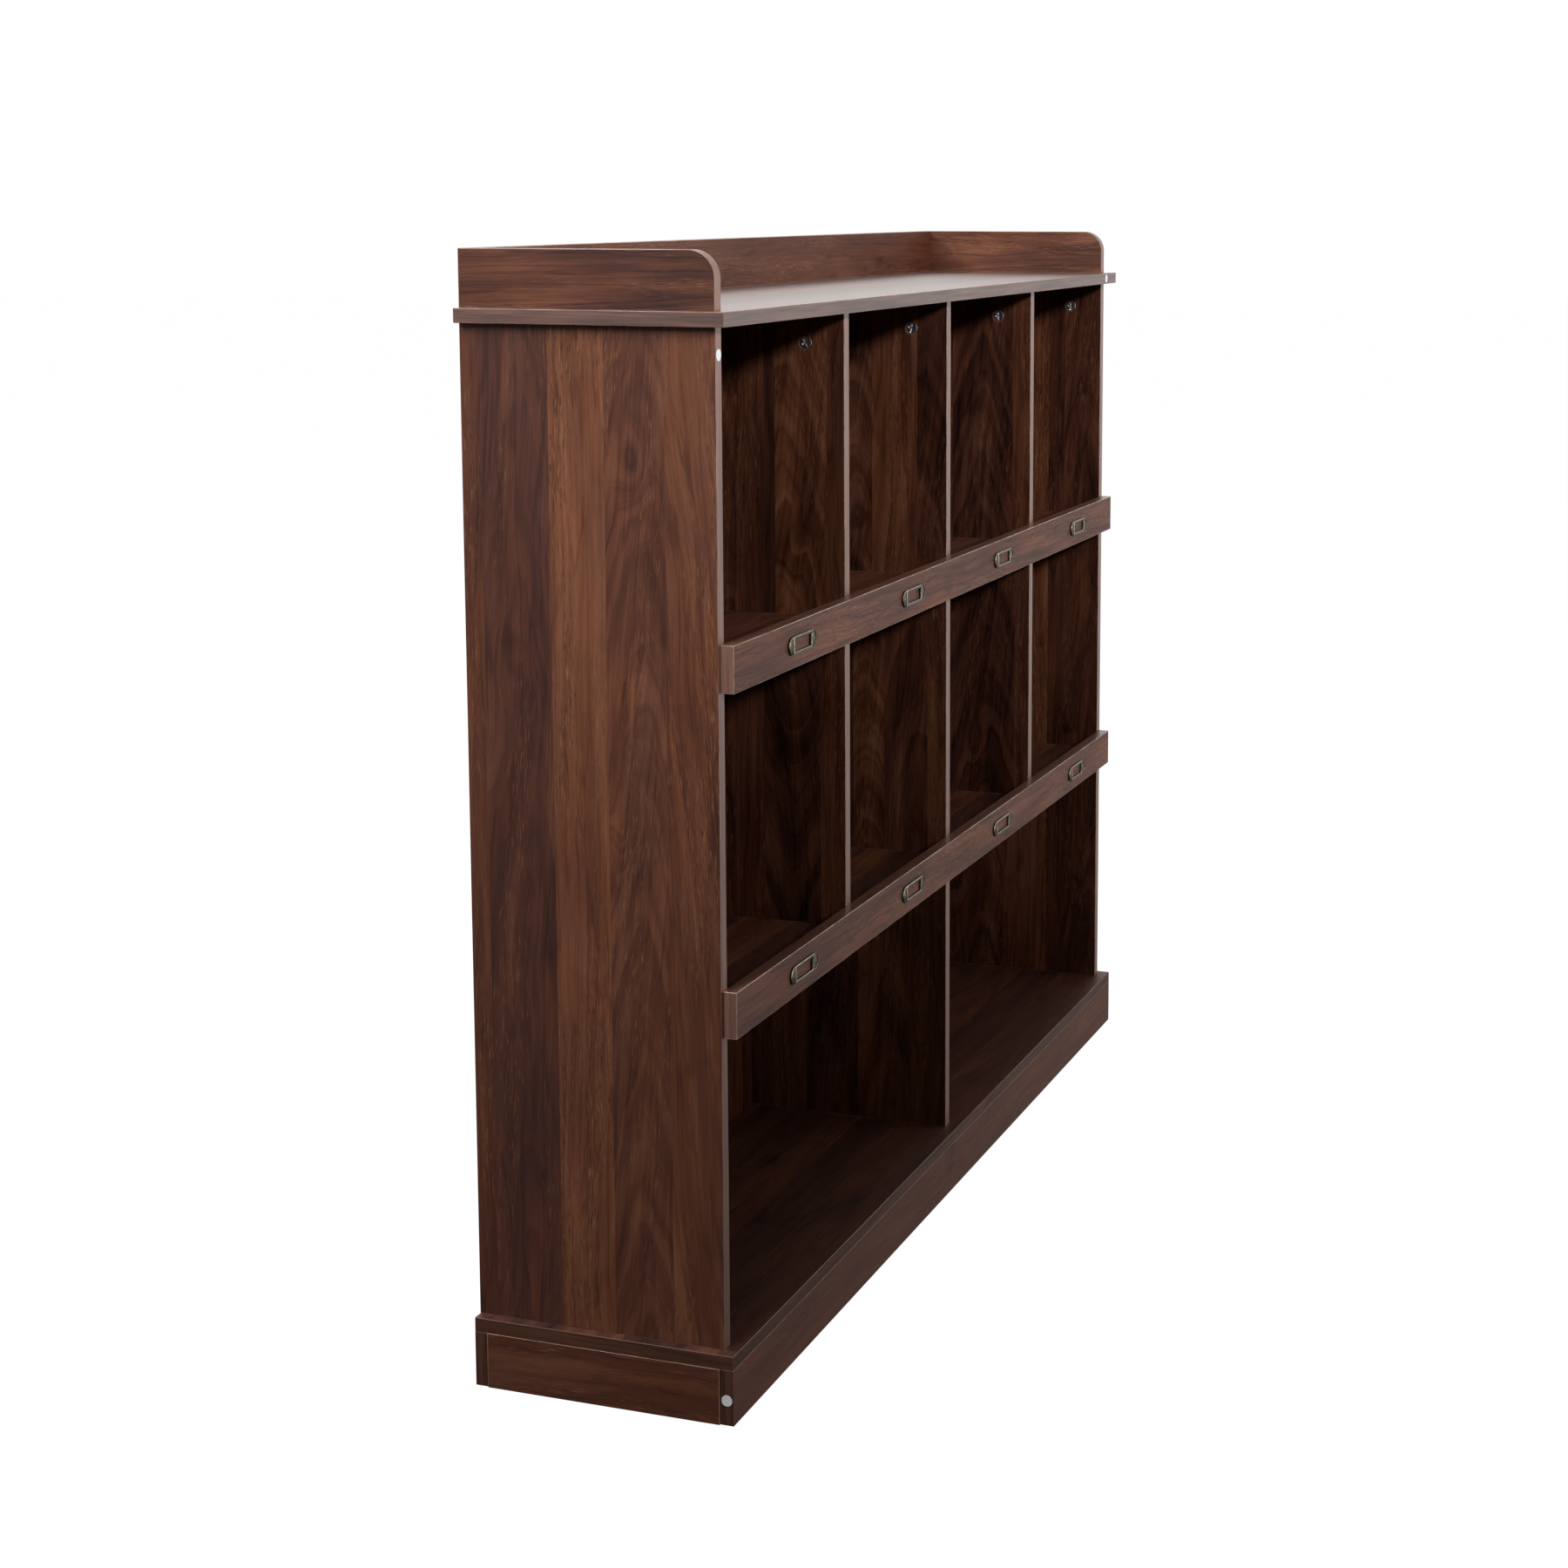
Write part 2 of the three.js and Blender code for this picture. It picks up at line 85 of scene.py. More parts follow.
# ---------------------------------------------------------------- node tree helpers
class Tree:
    """A node tree with short calls for the nodes that the materials use."""

    def __init__(self, tree):
        self.tree = tree

    def node(self, kind, **settings):
        made = self.tree.nodes.new(kind)
        for key, value in settings.items():
            setattr(made, key, value)
        return made

    def feed(self, socket, value):
        """Links a socket into an input, or sets the input to a plain value."""
        if isinstance(value, bpy.types.NodeSocket):
            self.tree.links.new(value, socket)
        else:
            socket.default_value = value

    def math(self, operation, first, second=0.0, third=0.0, clamp=False):
        made = self.node("ShaderNodeMath", operation=operation, use_clamp=clamp)
        for socket, value in zip(made.inputs, (first, second, third)):
            self.feed(socket, value)
        return made.outputs[0]

    def vector(self, x, y, z):
        made = self.node("ShaderNodeCombineXYZ")
        for socket, value in zip(made.inputs, (x, y, z)):
            self.feed(socket, value)
        return made.outputs[0]

    def noise(self, place, scale=1.0, detail=2.0, roughness=0.5):
        """Noise between 0 and 1, from a 3D place."""
        made = self.node("ShaderNodeTexNoise", noise_dimensions="3D")
        self.feed(made.inputs["Vector"], place)
        made.inputs["Scale"].default_value = scale
        made.inputs["Detail"].default_value = detail
        made.inputs["Roughness"].default_value = roughness
        return made.outputs["Fac"]

    def spread(self, value, low, high, to_low=0.0, to_high=1.0, smooth=True):
        """Maps low..high to to_low..to_high, clamped."""
        made = self.node("ShaderNodeMapRange", clamp=True)
        if smooth:
            made.interpolation_type = "SMOOTHSTEP"
        self.feed(made.inputs["Value"], value)
        limits = {"From Min": low, "From Max": high, "To Min": to_low, "To Max": to_high}
        for name, number in limits.items():
            self.feed(made.inputs[name], number)
        return made.outputs["Result"]

    def ramp(self, value, stops, interpolation="LINEAR"):
        """A colour ramp. Returns its colour and alpha sockets."""
        made = self.node("ShaderNodeValToRGB")
        made.color_ramp.interpolation = interpolation
        elements = made.color_ramp.elements
        while len(elements) > 1:
            elements.remove(elements[-1])
        for index, (place, colour) in enumerate(stops):
            element = elements[0] if index == 0 else elements.new(place)
            element.position = place
            element.color = colour if len(colour) == 4 else (*colour, 1.0)
        self.feed(made.inputs["Fac"], value)
        return made.outputs["Color"], made.outputs["Alpha"]

    def mix(self, amount, first, second):
        """Mixes two colours, each a socket or three numbers."""
        made = self.node("ShaderNodeMix", data_type="RGBA")
        self.feed(made.inputs["Factor"], amount)
        for socket, colour in zip((made.inputs[6], made.inputs[7]), (first, second)):
            self.feed(socket, (*colour, 1.0) if isinstance(colour, tuple) else colour)
        return made.outputs[2]

    def bump(self, height, strength, distance):
        made = self.node("ShaderNodeBump")
        made.inputs["Strength"].default_value = strength
        made.inputs["Distance"].default_value = distance
        self.feed(made.inputs["Height"], height)
        return made.outputs["Normal"]

    def place_mm(self):
        """The piece's own coordinates in millimetres, as three sockets."""
        coordinates = self.node("ShaderNodeTexCoord")
        scaled = self.node("ShaderNodeVectorMath", operation="SCALE")
        self.feed(scaled.inputs[0], coordinates.outputs["Object"])
        scaled.inputs["Scale"].default_value = 1 / MM
        split = self.node("ShaderNodeSeparateXYZ")
        self.feed(split.inputs[0], scaled.outputs[0])
        return split.outputs


def new_material(name):
    """A material with a bare Principled shader. Returns it, its Tree and the shader."""
    made = bpy.data.materials.new(name)
    made.use_nodes = True
    tree = Tree(made.node_tree)
    return made, tree, made.node_tree.nodes["Principled BSDF"]


# ---------------------------------------------------------------- walnut print
GROUP_INPUTS = (
    ("Across", "NodeSocketFloat"),  # mm
    ("Along", "NodeSocketFloat"),  # mm
    ("Pith", "NodeSocketFloat"),  # mm, where across the board the rings' centre lies
    ("Tone", "NodeSocketFloat"),  # 0 dark to 1 light
    ("Warmth", "NodeSocketFloat"),  # 0 purple-brown to 1 orange-brown
    ("Lean", "NodeSocketFloat"),  # mm of ring radius per mm along, so rings close into arches
    ("Knot", "NodeSocketFloat"),  # 0 away from the board's knot, 1 at its middle
    ("Contrast", "NodeSocketFloat"),
    ("Seed", "NodeSocketFloat"),
)
RING_SPACING = 12.0  # mm
LATEWOOD_SHARE = -0.45  # how much the dark end of each ring darkens it
RINGS_FLAT = 0.08  # weight of the rings in wood without lean
RINGS_STEEP = 0.75  # what a lean of 1 adds to it
KNOT_STEEPNESS = 0.15  # the lean that a knot's middle counts as
PITH_DEPTH = 15.0  # mm, how far under the face the pith runs
KNOT_BULGE = 30.0  # mm that a knot pushes the rings outwards
SWELL_BULGE = 24.0  # mm that a swelling of the grain pushes them outwards
RIPPLE_REACH = 15.0  # mm of small ripples in the rings
WANDER_REACH = 30.0  # mm that the grain wanders sideways
FLOW_LEAN = 0.35  # share of the rings' lean that the fibres take
SEED_STEP = 37.0  # how far apart two seeds lie in the noises' third axis

# Colour ramps from dark to light, as (value, colour)
COOL_BROWN = (
    (0.00, (0.0120, 0.0046, 0.0038)),
    (0.30, (0.0460, 0.0155, 0.0110)),
    (0.50, (0.0780, 0.0272, 0.0172)),
    (0.70, (0.1200, 0.0460, 0.0285)),
    (1.00, (0.2000, 0.0860, 0.0560)),
)
WARM_BROWN = (
    (0.00, (0.0160, 0.0050, 0.0030)),
    (0.30, (0.0560, 0.0162, 0.0080)),
    (0.50, (0.0920, 0.0290, 0.0132)),
    (0.70, (0.1430, 0.0500, 0.0232)),
    (1.00, (0.2350, 0.0930, 0.0460)),
)
PORE_BROWN = (0.0180, 0.0065, 0.0045)
FLECK_BROWN = (0.2700, 0.1240, 0.0660)

# The print's noises: (cells per mm across, cells per mm along, place in the third axis, detail, roughness)
PRINT_NOISES = {
    "wander": (0.010, 0.0030, 0.0, 2.5, 0.5),
    "bulge": (0.016, 0.0052, 7.0, 1.0, 0.5),
    "ripple": (0.045, 0.0105, 9.0, 3.0, 0.5),
    "fibre": (0.40, 0.0075, 1.0, 4.0, 0.70),
    "smoke": (0.034, 0.0050, 2.0, 3.0, 0.55),
    "vein": (0.12, 0.0040, 3.0, 3.0, 0.62),
    "pores": (0.95, 0.075, 4.0, 1.5, 0.5),
    "flecks": (0.80, 0.055, 8.0, 1.5, 0.5),
    "smudges": (0.026, 0.0120, 11.0, 2.0, 0.5),
    "contour": (0.055, 0.0030, 17.0, 1.5, 0.5),
    "blush": (0.03, 0.006, 6.0, 2.0, 0.5),
    "patches": (0.030, 0.0030, 13.0, 2.0, 0.5),
}
# Marks show only where their noise is high: (where they start to show, where they show fully)
PRINT_MARKS = {
    "bulge": (0.56, 0.80),
    "pores": (0.56, 0.68),
    "flecks": (0.57, 0.72),
    "smudges": (0.62, 0.82),
    "patches": (0.40, 0.62),
}
HAIRLINE = (0.006, 0.030)  # how far from its middle value the contour noise draws a full line, and any line

# How much each part of the drawing lightens or darkens the plank's tone
FIBRE_WEIGHT = 0.52
SMOKE_WEIGHT = 0.86
VEIN_WEIGHT = 0.44
SMUDGE_WEIGHT = -0.30
KNOT_WEIGHT = -0.08
HAIRLINE_WEIGHT = -0.14
TONE_LIFT = 0.02  # added to the tone of every plank
BLUSH = 1.6  # how much the warmth varies within a plank
PORE_SHARE = 0.90  # how far a pore takes its own brown where pores are densest
FLECK_SHARE = 0.85
FIBRE_RELIEF = 0.6  # what the fibres and the pores give to the embossed grain
PORE_RELIEF = -0.5
GRAIN_GLOSS = -0.10  # how much the grain changes the roughness


def walnut_group():
    """Node group that draws printed walnut: growth rings, fibres, smoky streaks, pores and flecks."""
    group = bpy.data.node_groups.new("walnut_print", "ShaderNodeTree")
    for name, kind in GROUP_INPUTS:
        group.interface.new_socket(name, in_out="INPUT", socket_type=kind)
    group.interface.new_socket("Color", in_out="OUTPUT", socket_type="NodeSocketColor")
    group.interface.new_socket("Grain", in_out="OUTPUT", socket_type="NodeSocketFloat")
    tree = Tree(group)
    given = tree.node("NodeGroupInput").outputs
    across, along, tone = given["Across"], given["Along"], given["Tone"]
    depth = tree.math("MULTIPLY", given["Seed"], SEED_STEP)

    def printed(name, source=across):
        """One of the print's noises, stretched along the board, with the given socket across it."""
        across_scale, along_scale, offset, detail, roughness = PRINT_NOISES[name]
        place = tree.vector(
            tree.math("MULTIPLY", source, across_scale),
            tree.math("MULTIPLY", along, along_scale),
            tree.math("ADD", depth, offset),
        )
        return tree.noise(place, detail=detail, roughness=roughness)

    def marks(name, source=across):
        return tree.spread(printed(name, source), *PRINT_MARKS[name])

    def centred(value):
        return tree.math("SUBTRACT", value, 0.5)

    # the grain wanders sideways along the board and leans with the rings
    wandered = tree.math("MULTIPLY_ADD", centred(printed("wander")), WANDER_REACH, across)
    flow_lean = tree.math("MULTIPLY", given["Lean"], FLOW_LEAN)
    flow = tree.math("MULTIPLY_ADD", along, flow_lean, wandered)

    # rings: cones round a pith under the face, which show as nested arches, and eyes where they bulge
    side = tree.math("SUBTRACT", wandered, given["Pith"])
    arch = tree.math("SQRT", tree.math("MULTIPLY_ADD", side, side, PITH_DEPTH ** 2))
    arch = tree.math("MULTIPLY_ADD", along, given["Lean"], arch)
    radius = tree.math("MULTIPLY_ADD", marks("bulge"), SWELL_BULGE, arch)
    radius = tree.math("MULTIPLY_ADD", given["Knot"], KNOT_BULGE, radius)
    radius = tree.math("MULTIPLY_ADD", centred(printed("ripple")), RIPPLE_REACH, radius)
    turn = tree.math("DIVIDE", radius, RING_SPACING)
    uneven = tree.noise(tree.vector(turn, 0.0, depth), detail=2.5, roughness=0.6)
    uneven = tree.spread(uneven, 0.30, 0.70)
    latewood = tree.math("POWER", tree.math("FRACT", turn), 3.0)
    rings = tree.math("MULTIPLY_ADD", latewood, LATEWOOD_SHARE, uneven)

    # the rings show most where they close into arches
    lean = tree.math("ABSOLUTE", given["Lean"])
    steepness = tree.math("MULTIPLY_ADD", given["Knot"], KNOT_STEEPNESS, lean)
    ring_weight = tree.math("MULTIPLY_ADD", steepness, RINGS_STEEP, RINGS_FLAT)

    # fibres, smoky streaks and hairlines follow the flow
    fibre = printed("fibre", flow)
    off_contour = tree.math("ABSOLUTE", centred(printed("contour", flow)))
    hairline = tree.spread(off_contour, *HAIRLINE, 1.0, 0.0)
    knot_core = tree.math("POWER", given["Knot"], 3.0)
    drawing = tree.math("MULTIPLY", marks("smudges"), SMUDGE_WEIGHT)
    for part, weight in (
        (centred(rings), ring_weight),
        (centred(fibre), FIBRE_WEIGHT),
        (centred(printed("smoke", flow)), SMOKE_WEIGHT),
        (centred(printed("vein", flow)), VEIN_WEIGHT),
        (knot_core, KNOT_WEIGHT),
        (hairline, HAIRLINE_WEIGHT),
    ):
        drawing = tree.math("MULTIPLY_ADD", part, weight, drawing)
    value = tree.math("MULTIPLY_ADD", drawing, given["Contrast"], tone)
    value = tree.math("ADD", value, TONE_LIFT, clamp=True)
    cool, _ = tree.ramp(value, COOL_BROWN)
    warm, _ = tree.ramp(value, WARM_BROWN)
    warmth = tree.math("MULTIPLY_ADD", centred(printed("blush")), BLUSH, given["Warmth"], clamp=True)
    colour = tree.mix(warmth, cool, warm)

    # pores and flecks come in patches, and are denser in light straight-grained wood
    lightness = tree.spread(tone, 0.30, 0.75, 0.25, 0.85, smooth=False)
    dense = tree.math("MULTIPLY", marks("patches", flow), lightness)
    pores = marks("pores", flow)
    pore_share = tree.math("MULTIPLY", pores, tree.math("MULTIPLY", dense, PORE_SHARE))
    colour = tree.mix(pore_share, colour, PORE_BROWN)
    fleck_share = tree.math("MULTIPLY", marks("flecks", flow), tree.math("MULTIPLY", dense, FLECK_SHARE))
    colour = tree.mix(fleck_share, colour, FLECK_BROWN)
    grain = tree.math("MULTIPLY_ADD", fibre, FIBRE_RELIEF, tree.math("MULTIPLY", pores, PORE_RELIEF))
    out = tree.node("NodeGroupOutput")
    tree.feed(out.inputs["Color"], colour)
    tree.feed(out.inputs["Grain"], grain)
    return group


WALNUT = walnut_group()
PITH_RANGE = 400.0  # mm; a plank's pith lies within this of the board's middle line
LEAN_RANGE = 0.6  # a plank's lean lies between minus and plus this
PLANK_WIDTHS = (52, 78)  # mm
PLANK_SEED_STEP = 13.0  # each plank's pith moves its seed by a share of this, so no two are alike
COAT_ROUGHNESS = 0.35
PRINT_RELIEF = 0.0004  # m that the print's grain is embossed at full bump
BAND_RELIEF = 0.0003
METAL_RELIEF = 0.0001
PAPER_RELIEF = 0.0001


def planks_from(planks, low, high):
    """Ramp stops for planks given as (start in mm, tone, warmth, pith from the plank's start, lean)."""
    middle = (low + high) / 2
    stops = []
    for start, tone, warmth, pith, lean in planks:
        place = min(max((start - low) / (high - low), 0.0), 1.0)
        centre = (start + pith - middle) / (2 * PITH_RANGE) + 0.5
        lean_share = lean / (2 * LEAN_RANGE) + 0.5
        stops.append((place, (tone, warmth, centre, lean_share)))
    return stops


def random_planks(low, high, rng, tone_shift=0.0):
    """Planks of printed walnut, in turn straight-grained and arched."""
    start = low
    planks = []
    arched = rng.random() < 0.5
    while start < high:
        width = rng.uniform(*PLANK_WIDTHS)
        if arched:
            tone = rng.uniform(0.34, 0.50)
            warmth = rng.uniform(0.1, 0.6)
            pith = rng.uniform(0.3, 0.7) * width
            lean = rng.choice((-1, 1, 1)) * rng.uniform(0.15, 0.32)
        else:
            tone = rng.uniform(0.54, 0.68)
            warmth = rng.uniform(0.45, 0.95)
            pith = rng.choice((-90, 150))
            lean = rng.uniform(-0.1, 0.1)
        planks.append((start, tone + tone_shift, warmth, pith, lean))
        arched = not arched
        start += width
    return planks


def knot_share(tree, across_mm, along_mm, knot):
    """How much a point belongs to a knot: 1 in the knot's middle, 0 outside. KNOTS says what a knot is."""
    across_place, along_place, half_width, half_length = knot
    side = tree.math("DIVIDE", tree.math("SUBTRACT", across_mm, across_place), half_width)
    run = tree.math("DIVIDE", tree.math("SUBTRACT", along_mm, along_place), half_length)
    apart = tree.math("SQRT", tree.math("MULTIPLY_ADD", side, side, tree.math("MULTIPLY", run, run)))
    return tree.spread(apart, 0.0, 1.0, 1.0, 0.0)


def walnut_material(
    name, across, along, span, planks, seed,
    roughness=0.52, specular=0.18, coat=0.0, bump=0.25, contrast=1.0, knot=None,
):
    """Walnut laminate for one board. across and along are axis names; span is the board's ends across."""
    made, tree, shader = new_material(name)
    place = tree.place_mm()
    across_mm, along_mm = place[AXES[across]], place[AXES[along]]
    low, high = span
    share = tree.math("DIVIDE", tree.math("SUBTRACT", across_mm, low), high - low)
    values, lean = tree.ramp(share, planks_from(planks, low, high), "CONSTANT")
    split = tree.node("ShaderNodeSeparateColor")
    tree.feed(split.inputs[0], values)
    tone, warmth, pith = split.outputs
    middle = (low + high) / 2
    pith_mm = tree.math("MULTIPLY_ADD", tree.math("SUBTRACT", pith, 0.5), 2 * PITH_RANGE, middle)
    group = tree.node("ShaderNodeGroup", node_tree=WALNUT)
    for key, value in (
        ("Across", across_mm),
        ("Along", along_mm),
        ("Pith", pith_mm),
        ("Tone", tone),
        ("Warmth", warmth),
        ("Lean", tree.math("MULTIPLY", tree.math("SUBTRACT", lean, 0.5), 2 * LEAN_RANGE)),
        ("Knot", knot_share(tree, across_mm, along_mm, knot) if knot else 0.0),
        ("Contrast", contrast),
        ("Seed", tree.math("MULTIPLY_ADD", pith, PLANK_SEED_STEP, seed)),
    ):
        tree.feed(group.inputs[key], value)
    tree.feed(shader.inputs["Base Color"], group.outputs["Color"])
    rough = tree.math("MULTIPLY_ADD", group.outputs["Grain"], GRAIN_GLOSS, roughness + 0.03)
    tree.feed(shader.inputs["Roughness"], rough)
    tree.feed(shader.inputs["Normal"], tree.bump(group.outputs["Grain"], bump, PRINT_RELIEF))
    shader.inputs["Specular IOR Level"].default_value = specular
    shader.inputs["Coat Weight"].default_value = coat
    shader.inputs["Coat Roughness"].default_value = COAT_ROUGHNESS
    return made


EDGE_BANDS = {  # kind: (dark, light, roughness, specular level)
    "pale": ((0.120, 0.052, 0.034), (0.235, 0.110, 0.072), 0.38, 0.5),
    "grey": ((0.046, 0.021, 0.015), (0.145, 0.068, 0.052), 0.40, 0.5),
    "deep": ((0.046, 0.019, 0.012), (0.110, 0.047, 0.029), 0.50, 0.12),
}
WEAR_AND_HIGHLIGHT_COLOURS = {  # kind: (dark, light)
    "plain": ((0.110, 0.055, 0.040), (0.300, 0.190, 0.150)),
    "bright": ((0.180, 0.115, 0.092), (0.520, 0.400, 0.365)),
    # bright: a painted highlight, the light line along the rails' arrises
    "tan": ((0.150, 0.085, 0.055), (0.420, 0.270, 0.180)),
    "dark": ((0.050, 0.021, 0.014), (0.110, 0.052, 0.036)),
}


def edge_material(kind, axis):
    """Smooth edge band with fine streaks that run along the given axis."""
    made, tree, shader = new_material(f"edge_band_{kind}_{axis}")
    place = tree.place_mm()

    def streaks(across_scale, along_scale, detail):
        scaled = [tree.math("MULTIPLY", socket, across_scale) for socket in place]
        scaled[AXES[axis]] = tree.math("MULTIPLY", place[AXES[axis]], along_scale)
        return tree.noise(tree.vector(*scaled), detail=detail, roughness=0.62)

    fine = streaks(0.60, 0.012, 4.0)
    broad = streaks(0.13, 0.0060, 2.0)
    value = tree.math("MULTIPLY_ADD", broad, 0.55, tree.math("MULTIPLY", fine, 0.5))
    value = tree.spread(value, 0.38, 0.68)
    dark, light, roughness, specular = EDGE_BANDS[kind]
    shader.inputs["Specular IOR Level"].default_value = specular
    tree.feed(shader.inputs["Base Color"], tree.mix(value, dark, light))
    tree.feed(shader.inputs["Roughness"], tree.math("MULTIPLY_ADD", fine, -0.10, roughness))
    tree.feed(shader.inputs["Normal"], tree.bump(fine, 0.2, BAND_RELIEF))
    return made


def wear_and_highlight_material(kind):
    """The thin line where the laminate meets the edge band: rubbed wear, and with the bright kind a painted
    highlight.
    """
    made, tree, shader = new_material(f"edge_line_{kind}")
    coordinates = tree.node("ShaderNodeTexCoord").outputs["Object"]
    patch = tree.noise(coordinates, scale=24.0, detail=4.0, roughness=0.65)
    amount = tree.spread(patch, 0.32, 0.62)
    dark, light = WEAR_AND_HIGHLIGHT_COLOURS[kind]
    tree.feed(shader.inputs["Base Color"], tree.mix(amount, dark, light))
    tree.feed(shader.inputs["Roughness"], tree.spread(patch, 0.3, 0.7, 0.6, 0.45))
    return made


EDGES = {(kind, axis): edge_material(kind, axis) for kind in EDGE_BANDS for axis in AXES}
WEAR_AND_HIGHLIGHT_LINES = {kind: wear_and_highlight_material(kind) for kind in WEAR_AND_HIGHLIGHT_COLOURS}


# ---------------------------------------------------------------- boards
BEVEL = 0.6 * MM
RAIL_BEVEL = 0.65 * MM
CAM_BEVEL = 0.35 * MM
BOARD_CORNER = 35  # degrees; edges sharper than this are rounded
CAM_CORNER = 50
HOLDER_CORNER = 40
WELD_REACH = 0.005 * MM  # the CAD meshes arrive as loose triangles, and are joined this close

# Planks on the boards that show most, from the front edge or lower edge on, as
# (start in mm, tone, warmth, pith from the plank's start, lean). Random planks follow the last one.
PLANKS = {
    "side_panel_left": (
        (-132.0, 0.62, 0.75, -60.0, -0.14),
        (-76.5, 0.52, 0.50, 30.0, 0.22),
        (-10.3, 0.70, 0.80, -100.0, 0.01),
        (51.5, 0.38, 0.05, 36.0, 0.12),
        (127.0, 0.50, 0.55, 120.0, 0.00),
    ),
    "side_panel_right": (
        (-132.0, 0.50, 0.45, 20.0, 0.20),
        (-79.0, 0.39, 0.35, -60.0, 0.04),
        (-54.0, 0.64, 0.90, 90.0, 0.04),
        (15.0, 0.45, 0.40, 35.0, 0.24),
    ),
    "divider_top_1": (
        (-132.0, 0.60, 0.65, -60.0, 0.04),
        (-112.0, 0.70, 0.95, 54.0, 0.30),
        (-49.0, 0.26, 0.10, 90.0, 0.00),
        (-37.0, 0.50, 0.60, -60.0, 0.00),
        (-13.0, 0.58, 0.70, 60.0, 0.14),
    ),
    "divider_top_2": (
        (-132.0, 0.42, 0.40, 30.0, 0.24),
        (-94.0, 0.66, 0.85, -90.0, 0.06),
        (-34.0, 0.50, 0.55, 22.0, 0.29),
    ),
    "divider_top_3": (
        (-132.0, 0.62, 0.80, -70.0, 0.04),
        (-108.0, 0.38, 0.35, 45.0, 0.29),
        (-22.0, 0.52, 0.50, 25.0, 0.20),
    ),
    "divider_middle_1": (
        (-132.0, 0.64, 0.90, -80.0, 0.00),
        (-102.0, 0.44, 0.20, 34.0, -0.30),
        (-34.0, 0.54, 0.65, 110.0, 0.04),
    ),
    "divider_middle_2": (
        (-132.0, 0.62, 0.75, -70.0, 0.00),
        (-108.0, 0.50, 0.55, 10.0, 0.20),
        (-50.0, 0.62, 0.90, 20.0, 0.30),
        (-8.0, 0.32, 0.15, 80.0, 0.00),
    ),
    "divider_middle_3": (
        (-132.0, 0.52, 0.60, -70.0, 0.04),
        (-112.0, 0.40, 0.30, 40.0, 0.29),
        (-15.0, 0.64, 0.85, 120.0, 0.00),
    ),
    "divider_bottom": (
        (-132.0, 0.55, 0.50, -60.0, 0.04),
        (-85.0, 0.60, 0.70, 30.0, 0.21),
        (-14.0, 0.36, 0.30, 40.0, 0.20),
        (58.0, 0.52, 0.55, -70.0, 0.04),
    ),
    "rail_upper": ((760.0, 0.56, 0.45, -40.0, 0.03),),
    "rail_lower": ((405.0, 0.60, 0.60, -55.0, 0.03),),
    "gallery_left": ((1140.0, 0.46, 0.40, 26.0, 0.07),),
    "gallery_right": ((1140.0, 0.49, 0.60, 40.0, 0.04),),
    "gallery_back": ((1140.0, 0.52, 0.55, -40.0, 0.03),),
    "plinth_front": ((0.0, 0.52, 0.55, -50.0, 0.01),),
    "plinth_left": ((0.0, 0.55, 0.45, 20.0, 0.04),),
    "plinth_right": ((0.0, 0.54, 0.70, 25.0, -0.04),),
    "bottom_board": (
        (-147.0, 0.42, 0.25, 40.0, 0.10),
        (-78.0, 0.32, 0.05, -70.0, 0.02),
        (-20.0, 0.44, 0.40, 30.0, 0.14),
        (48.0, 0.34, 0.15, -60.0, 0.03),
    ),
}
KNOTS = {  # board: (place across, place along, half width, half length) in mm
    "side_panel_left": (-42.0, 985.0, 30.0, 70.0),
    "plinth_left": (30.0, -78.0, 12.0, 34.0),
}


def span_mm(node, axis):
    low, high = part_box(node)
    return low[AXES[axis]] / MM, high[AXES[axis]] / MM


def board_planks(node, span, seed, tone_shift):
    """The board's own planks, with random ones after the last, or over the whole board if it has none."""
    rng = random.Random(round(seed * 100))
    given = list(PLANKS.get(node, ()))
    low, high = span
    start = given[-1][0] + rng.uniform(55, 75) if given else low
    return given + random_planks(start, high, rng, tone_shift)


def round_edges(piece, width, angle):
    """Joins the piece's triangles, then rounds its sharp edges, which take material slot 1."""
    joined = piece.modifiers.new("joined_corners", "WELD")
    joined.merge_threshold = WELD_REACH
    rounding = piece.modifiers.new("rounded_edges", "BEVEL")
    rounding.width = width
    rounding.segments = 2
    rounding.limit_method = "ANGLE"
    rounding.angle_limit = math.radians(angle)
    rounding.use_clamp_overlap = False
    rounding.material = 1


def dress_board(
    node, across, along, seed,
    bevel=BEVEL, tone_shift=0.0, band="pale", wear_and_highlight="plain", **finish,
):
    """Gives a board its print, its edge bands by the way each face looks, and its arris lines: worn edges,
    and with the bright kind a painted highlight.
    """
    span = span_mm(node, across)
    planks = board_planks(node, span, seed, tone_shift)
    knot = KNOTS.get(node)
    face = walnut_material(node + "_walnut", across, along, span, planks, seed, knot=knot, **finish)
    board = nodes[node]
    thickness = next(axis for axis in AXES if axis not in (across, along))
    slots = board.data.materials
    slots.clear()
    for made in (face, WEAR_AND_HIGHLIGHT_LINES[wear_and_highlight], EDGES[band, along], EDGES[band, across]):
        slots.append(made)
    slot_of_facing = {thickness: 0, across: 2, along: 3}
    for polygon in board.data.polygons:
        facing = max(AXES, key=lambda axis: abs(polygon.normal[AXES[axis]]))
        polygon.material_index = slot_of_facing[facing]
    round_edges(board, bevel, BOARD_CORNER)


DIVIDERS = (
    "divider_bottom",
    "divider_middle_1",
    "divider_middle_2",
    "divider_middle_3",
    "divider_top_1",
    "divider_top_2",
    "divider_top_3",
)


